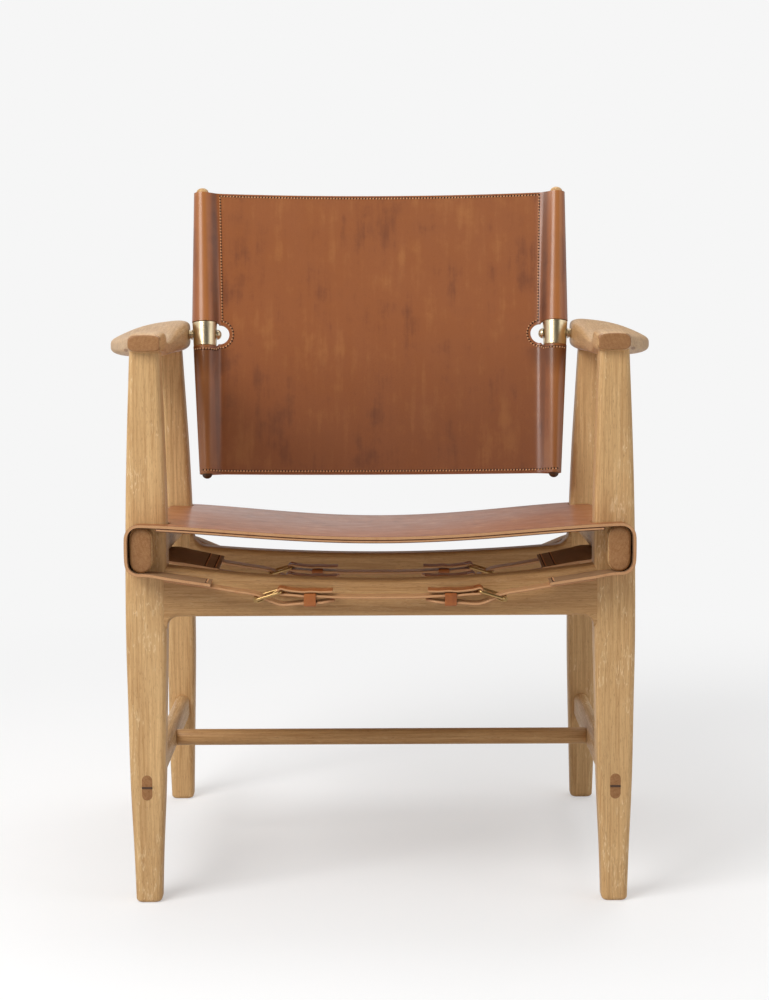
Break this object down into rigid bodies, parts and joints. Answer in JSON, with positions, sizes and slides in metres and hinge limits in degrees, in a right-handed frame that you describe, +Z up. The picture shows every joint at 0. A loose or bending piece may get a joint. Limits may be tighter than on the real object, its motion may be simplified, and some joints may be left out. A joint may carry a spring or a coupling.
{
  "type": "leather sling lounge chair",
  "caption": "Wooden lounge chair with a leather seat slung over side rails and buckled underneath, sculpted arms and a leather back that tilts on brass pivots.",
  "frame": {"origin": "middle of the bounding box in plan, at floor level", "axes": "+Z up, -Y towards the chair's front, +X to the right seen from the front"},
  "size_m": [0.7092, 0.621, 0.8492],
  "materials": {
    "oak": "oiled, matt",
    "dark_wood": "oiled, matt",
    "saddle_leather": "smooth saddle leather, semi-gloss",
    "lining_leather": "flesh side, matt",
    "brass": "brushed"
  },
  "bodies": {
    "frame": {"front_leg_right": "oak", "front_leg_left": "oak", "rear_leg_right": "oak", "rear_leg_left": "oak", "seat_rail_right": "oak", "seat_rail_left": "oak", "front_apron": "oak", "rear_apron": "oak", "side_stretcher_right": "oak", "side_stretcher_left": "oak", "tenon_wedge_right": "dark_wood", "tenon_wedge_left": "dark_wood", "cross_stretcher": "oak", "armrest_right": "oak", "armrest_left": "oak", "seat_sling": "saddle_leather", "seat_lining": "lining_leather", "front_centre_strap": "saddle_leather", "front_billet_strap_right": "saddle_leather", "front_billet_strap_left": "saddle_leather", "front_strap_keeper_right": "saddle_leather", "front_strap_keeper_left": "saddle_leather", "front_buckle_frame_right": "brass", "front_buckle_frame_left": "brass", "front_buckle_prong_right": "brass", "front_buckle_prong_left": "brass", "mid_front_centre_strap": "saddle_leather", "mid_front_billet_strap_right": "saddle_leather", "mid_front_billet_strap_left": "saddle_leather", "mid_front_strap_keeper_right": "saddle_leather", "mid_front_strap_keeper_left": "saddle_leather", "mid_front_buckle_frame_right": "brass", "mid_front_buckle_frame_left": "brass", "mid_front_buckle_prong_right": "brass", "mid_front_buckle_prong_left": "brass", "mid_rear_centre_strap": "saddle_leather", "mid_rear_billet_strap_right": "saddle_leather", "mid_rear_billet_strap_left": "saddle_leather", "mid_rear_strap_keeper_right": "saddle_leather", "mid_rear_strap_keeper_left": "saddle_leather", "mid_rear_buckle_frame_right": "brass", "mid_rear_buckle_frame_left": "brass", "mid_rear_buckle_prong_right": "brass", "mid_rear_buckle_prong_left": "brass", "rear_centre_strap": "saddle_leather", "rear_billet_strap_right": "saddle_leather", "rear_billet_strap_left": "saddle_leather", "rear_strap_keeper_right": "saddle_leather", "rear_strap_keeper_left": "saddle_leather", "rear_buckle_frame_right": "brass", "rear_buckle_frame_left": "brass", "rear_buckle_prong_right": "brass", "rear_buckle_prong_left": "brass", "pivot_bolt_right": "brass", "pivot_bolt_left": "brass"},
    "backrest": {"back_upright_right": "oak", "back_upright_left": "oak", "pivot_collar_right": "brass", "pivot_collar_left": "brass", "back_leather": "saddle_leather"}
  },
  "joints": [
    {"name": "back_tilt", "type": "hinge", "parent": "frame", "child": "backrest", "pos_m": [0, 0.2455, 0.649], "axis": [1, 0, 0], "range_deg": [-18, 14]}
  ]
}
